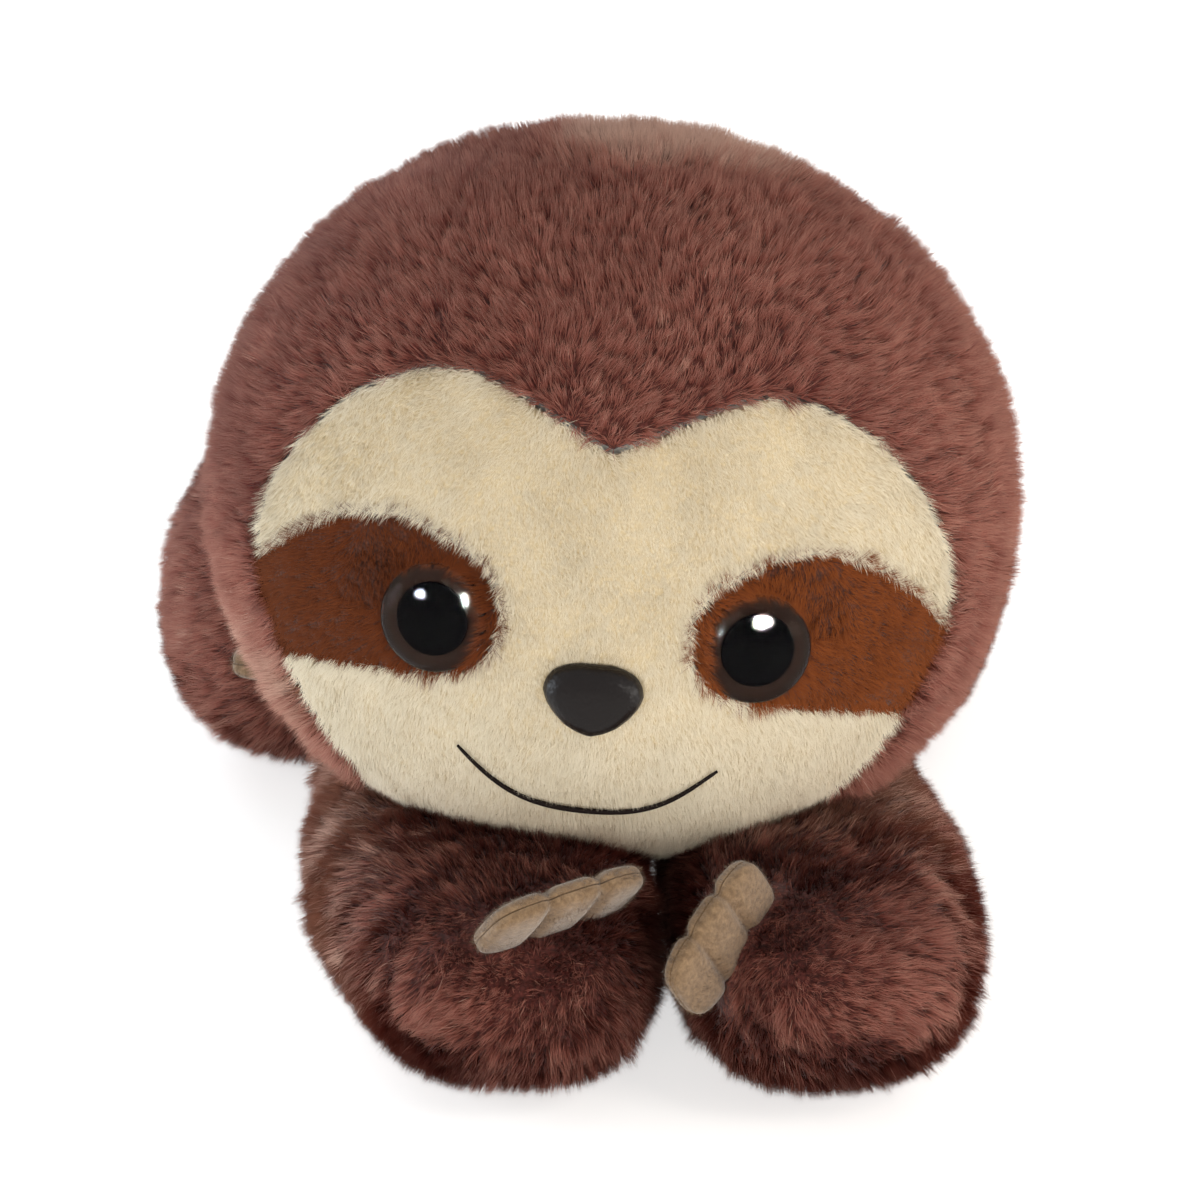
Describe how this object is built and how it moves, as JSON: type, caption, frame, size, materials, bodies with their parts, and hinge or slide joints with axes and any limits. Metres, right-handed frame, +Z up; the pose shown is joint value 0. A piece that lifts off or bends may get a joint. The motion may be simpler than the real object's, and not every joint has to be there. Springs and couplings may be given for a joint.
{
  "type": "plush sloth",
  "caption": "Stuffed animal toy lying on its belly, large round head on its front paws, cream face, safety eyes, felt claws.",
  "frame": {"origin": "where the belly rests on the surface, under the middle of the torso", "axes": "+Z up, the toy looks along -Y and its tail end is towards +Y, +X to the right as seen from the front"},
  "size_m": [0.1576, 0.2492, 0.1428],
  "materials": {
    "brown_pile": "long brushed plush pile",
    "light_pile": "long brushed plush pile",
    "cream_pile": "short brushed plush pile",
    "patch_pile": "short brushed plush pile",
    "tan_felt": "napped felt",
    "thread_brown": "twisted embroidery thread",
    "fibre_fill": "loose polyester fibre",
    "pellet_cloth": "plain woven cloth",
    "clear_acrylic": "clear polished acrylic",
    "iris_brown": "glossy painted disc",
    "pupil_black": "glossy",
    "nose_black": "satin, finely pebbled",
    "white_nylon": "moulded"
  },
  "bodies": {
    "torso": {"left_back_cover": "light_pile", "right_back_cover": "light_pile", "belly_panel": "brown_pile", "torso_stuffing": "fibre_fill", "pellet_bag": "pellet_cloth"},
    "head": {"head_cover": "brown_pile", "face_panel": "cream_pile", "left_eye_patch": "patch_pile", "right_eye_patch": "patch_pile", "left_eye_iris": "iris_brown", "right_eye_iris": "iris_brown", "left_eye_pupil": "pupil_black", "right_eye_pupil": "pupil_black", "left_eye_dome": "clear_acrylic", "right_eye_dome": "clear_acrylic", "left_eye_washer": "white_nylon", "right_eye_washer": "white_nylon", "nose": "nose_black", "nose_washer": "white_nylon", "head_stuffing": "fibre_fill", "mouth_stitching": "thread_brown"},
    "left_arm": {"left_arm_cover": "brown_pile", "left_arm_stuffing": "fibre_fill", "left_arm_claws_upper": "tan_felt", "left_arm_claws_lower": "tan_felt"},
    "right_arm": {"right_arm_cover": "brown_pile", "right_arm_stuffing": "fibre_fill", "right_arm_claws_upper": "tan_felt", "right_arm_claws_lower": "tan_felt"},
    "left_leg": {"left_leg_cover": "brown_pile", "left_leg_stuffing": "fibre_fill", "left_leg_claws_upper": "tan_felt", "left_leg_claws_lower": "tan_felt"},
    "right_leg": {"right_leg_cover": "brown_pile", "right_leg_stuffing": "fibre_fill", "right_leg_claws_upper": "tan_felt", "right_leg_claws_lower": "tan_felt"}
  },
  "joints": [
    {"name": "neck_nod", "type": "hinge", "parent": "torso", "child": "head", "pos_m": [0, -0.058, 0.076], "axis": [-1, 0, 0], "range_deg": [0, 16]},
    {"name": "left_shoulder", "type": "hinge", "parent": "torso", "child": "left_arm", "pos_m": [-0.0291, -0.066, 0.021], "axis": [0, 0, -1], "range_deg": [0, 30]},
    {"name": "right_shoulder", "type": "hinge", "parent": "torso", "child": "right_arm", "pos_m": [0.0291, -0.066, 0.021], "axis": [0, 0, 1], "range_deg": [0, 30]},
    {"name": "left_hip", "type": "hinge", "parent": "torso", "child": "left_leg", "pos_m": [-0.05, 0.037, 0.0255], "axis": [0, 0, -1], "range_deg": [0, 40]},
    {"name": "right_hip", "type": "hinge", "parent": "torso", "child": "right_leg", "pos_m": [0.05, 0.037, 0.0255], "axis": [0, 0, 1], "range_deg": [0, 40]}
  ]
}
